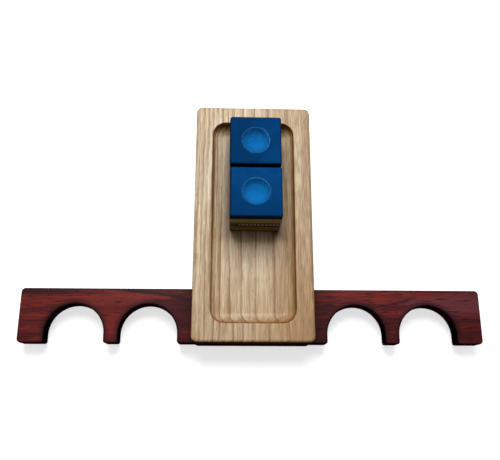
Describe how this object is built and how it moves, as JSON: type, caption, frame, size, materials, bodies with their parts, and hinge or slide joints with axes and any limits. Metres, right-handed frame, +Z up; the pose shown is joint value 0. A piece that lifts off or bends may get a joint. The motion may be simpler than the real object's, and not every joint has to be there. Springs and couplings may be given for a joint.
{
  "type": "portable table-top cue rest",
  "caption": "Small wooden cue rest for a table edge: a flat block with a chalk tray and two fold-away arms with open arched notches that hold upright cues.",
  "frame": {"origin": "at table level under the middle of the block, on the underside of the non-slip pad", "axes": "+X to the right along the open arms, +Y to the rear, away from the person who stands the cues in, +Z up"},
  "size_m": [0.203, 0.1086, 0.0368],
  "materials": {
    "ash": "clear satin oil",
    "red_hardwood": "clear satin oil",
    "black_rubber": "matte",
    "brass": "turned",
    "steel": "zinc plated",
    "nylon": "natural white",
    "blue_chalk": "dry powdery",
    "label_paper": "printed bands, no text"
  },
  "bodies": {
    "block": {"tray_block": "ash", "base_plate": "red_hardwood", "non_slip_pad": "black_rubber", "front_stop": "red_hardwood", "centre_rib": "red_hardwood", "rear_spacer": "red_hardwood", "plate_screws": "steel", "left_pivot_bush": "brass", "left_pivot_screw": "steel", "left_pivot_insert": "brass", "left_upper_washer": "nylon", "left_lower_washer": "nylon", "right_pivot_bush": "brass", "right_pivot_screw": "steel", "right_pivot_insert": "brass", "right_upper_washer": "nylon", "right_lower_washer": "nylon"},
    "left_arm": {"left_arm": "red_hardwood"},
    "right_arm": {"right_arm": "red_hardwood"},
    "front_chalk": {"front_chalk": "blue_chalk", "front_chalk_label": "label_paper"},
    "rear_chalk": {"rear_chalk": "blue_chalk", "rear_chalk_label": "label_paper"}
  },
  "joints": [
    {"name": "right_arm_pivot", "type": "hinge", "parent": "block", "child": "right_arm", "pos_m": [0.0187, -0.04745, 0.0071], "axis": [0, 0, 1], "range_deg": [0, 90]},
    {"name": "left_arm_pivot", "type": "hinge", "parent": "block", "child": "left_arm", "pos_m": [-0.0187, -0.04745, 0.0071], "axis": [0, 0, -1], "range_deg": [0, 90]},
    {"name": "front_chalk_lift", "type": "slide", "parent": "block", "child": "front_chalk", "axis": [0, 0, 1], "range_m": [0, 0.03]},
    {"name": "rear_chalk_lift", "type": "slide", "parent": "block", "child": "rear_chalk", "axis": [0, 0, 1], "range_m": [0, 0.03]}
  ]
}
